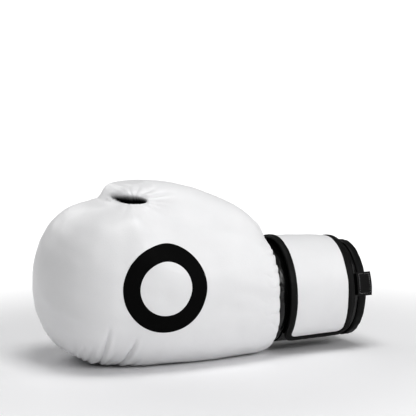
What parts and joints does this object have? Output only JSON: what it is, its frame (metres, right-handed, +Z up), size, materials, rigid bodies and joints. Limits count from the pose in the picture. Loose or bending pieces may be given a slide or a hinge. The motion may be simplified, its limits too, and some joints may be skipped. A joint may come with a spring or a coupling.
{
  "type": "boxing glove",
  "caption": "Left-hand padded boxing glove: mitten fist, side thumb, slit palm and cuff, and a wrap-over hook-and-loop wrist strap.",
  "frame": {"origin": "centre of the cuff's oval mouth, in the plane of its rim", "axes": "+X along the forearm, out of the cuff mouth; the fist is at negative X. +Y towards the palm, -Y towards the back of the hand. +Z up, with the thumb on top and the little-finger side on the ground at Z = -0.052"},
  "size_m": [0.309, 0.1497, 0.1634],
  "materials": {
    "white_leather": "matte",
    "black_leather": "satin",
    "black_gloss_leather": "gloss",
    "black_mesh": "matte",
    "emblem_black": "satin",
    "foam": "matte",
    "lining": "matte",
    "white_thread": "matte",
    "grip_core": "matte",
    "loop_tape": "matte",
    "hook_tape": "matte",
    "elastic": "matte",
    "label_cloth": "satin"
  },
  "bodies": {
    "hand": {"fist_cover": "white_leather", "fist_foam": "foam", "knuckle_pad": "foam", "hand_lining": "lining", "palm_panel": "black_leather", "palm_mesh": "black_mesh", "thumb_side_strip": "white_leather", "grip_bar_core": "grip_core", "grip_bar_sleeve": "lining", "back_emblem": "emblem_black", "palm_slit_trim": "black_leather", "palm_slit_stitching": "white_thread", "palm_gusset": "black_leather", "thumb_cover": "white_leather", "thumb_foam": "foam", "thumb_lining": "lining"},
    "cuff": {"cuff_cover": "black_gloss_leather", "cuff_foam": "foam", "neck_foam": "foam", "cuff_lining": "lining", "cuff_binding": "black_gloss_leather", "loop_tape": "loop_tape", "cuff_slit_trim": "black_leather", "cuff_slit_stitching": "white_thread", "cuff_gusset": "black_leather", "strap_anchor": "elastic"},
    "strap_base": {"strap_elastic": "elastic"},
    "strap_side": {"strap_panel_side": "white_leather", "strap_lining_side": "black_leather", "strap_binding_side": "black_gloss_leather"},
    "strap_back": {"strap_panel_back": "white_leather", "strap_lining_back": "black_leather", "strap_binding_back": "black_gloss_leather"},
    "strap_tip": {"strap_panel_tip": "white_leather", "strap_lining_tip": "black_leather", "strap_binding_tip": "black_gloss_leather", "hook_tape": "hook_tape"},
    "label": {"size_label": "label_cloth"}
  },
  "joints": [
    {"name": "wrist_flex", "type": "hinge", "parent": "hand", "child": "cuff", "pos_m": [-0.1, 0, 0], "axis": [0, 0, 1], "range_deg": [-8, 8]},
    {"name": "strap_lift", "type": "hinge", "parent": "cuff", "child": "strap_base", "pos_m": [-0.05, 0.03772, -0.02641], "axis": [-0.9994, 0.0281, -0.0197], "range_deg": [0, 19]},
    {"name": "strap_unroll_side", "type": "hinge", "parent": "strap_base", "child": "strap_side", "pos_m": [-0.05, 0.04057, 0.02535], "axis": [-0.9985, 0.0469, 0.0293], "range_deg": [0, 42]},
    {"name": "strap_unroll_back", "type": "hinge", "parent": "strap_side", "child": "strap_back", "pos_m": [-0.05, -0.01358, 0.05068], "axis": [-0.9978, -0.0173, 0.0646], "range_deg": [0, 60]},
    {"name": "strap_peel", "type": "hinge", "parent": "strap_back", "child": "strap_tip", "pos_m": [-0.05, -0.04586, 0], "axis": [-0.999, -0.045, 0], "range_deg": [0, 75]},
    {"name": "label_flap", "type": "hinge", "parent": "cuff", "child": "label", "pos_m": [-0.011, -0.03773, 0.01], "axis": [0, -0.1984, -0.9801], "range_deg": [0, 90]}
  ],
  "couplings": [
    {"joint": "strap_unroll_back", "follows": "strap_peel", "ratio": 0.8},
    {"joint": "strap_unroll_side", "follows": "strap_peel", "ratio": 0.55},
    {"joint": "strap_lift", "follows": "strap_peel", "ratio": 0.25}
  ]
}
